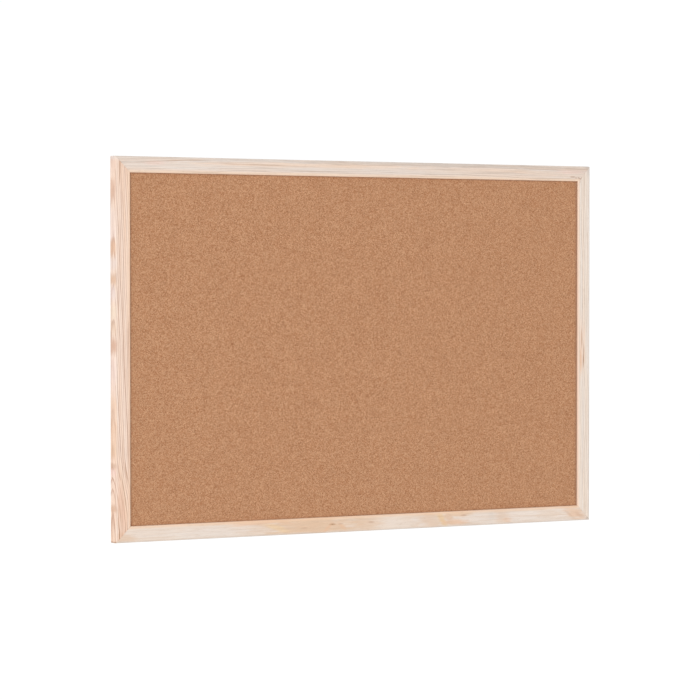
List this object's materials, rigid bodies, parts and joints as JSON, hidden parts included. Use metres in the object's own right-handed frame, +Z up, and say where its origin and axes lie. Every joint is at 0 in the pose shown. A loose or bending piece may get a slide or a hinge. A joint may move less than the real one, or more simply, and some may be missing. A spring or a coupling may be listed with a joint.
{
  "type": "cork board",
  "caption": "Landscape cork pin board: laminated cork panel held in the groove of a mitred natural pine frame, with swinging ring hangers on its back.",
  "frame": {"origin": "midway between the two places where the wall hooks carry the rings, in the plane of the frame's back", "axes": "+X to the right of someone who faces the cork, +Y out of the back towards the wall, +Z up"},
  "size_m": [0.6, 0.0162, 0.4],
  "materials": {
    "pine": "satin",
    "cork": "matte",
    "fibreboard": "matte",
    "kraft_backing": "matte",
    "zinc_plate": "satin",
    "nail_steel": "satin"
  },
  "bodies": {
    "board": {"frame_rail_top": "pine", "frame_rail_bottom": "pine", "frame_stile_left": "pine", "frame_stile_right": "pine", "cork_sheet": "cork", "fibreboard_core": "fibreboard", "backing_sheet": "kraft_backing", "corner_nail_top_right_outer": "nail_steel", "corner_nail_top_right_inner": "nail_steel", "corner_nail_top_left_outer": "nail_steel", "corner_nail_top_left_inner": "nail_steel", "corner_nail_bottom_left_outer": "nail_steel", "corner_nail_bottom_left_inner": "nail_steel", "corner_nail_bottom_right_outer": "nail_steel", "corner_nail_bottom_right_inner": "nail_steel", "hanger_strap_left": "zinc_plate", "hanger_screw_left": "zinc_plate", "hanger_strap_right": "zinc_plate", "hanger_screw_right": "zinc_plate"},
    "ring_left": {"hanger_ring_left": "zinc_plate"},
    "ring_right": {"hanger_ring_right": "zinc_plate"}
  },
  "joints": [
    {"name": "ring_swing_left", "type": "hinge", "parent": "board", "child": "ring_left", "pos_m": [-0.29195, 0.0021, -0.00755], "axis": [-1, 0, 0], "range_deg": [-5, 175]},
    {"name": "ring_swing_right", "type": "hinge", "parent": "board", "child": "ring_right", "pos_m": [0.29195, 0.0021, -0.00755], "axis": [-1, 0, 0], "range_deg": [-5, 175]}
  ]
}
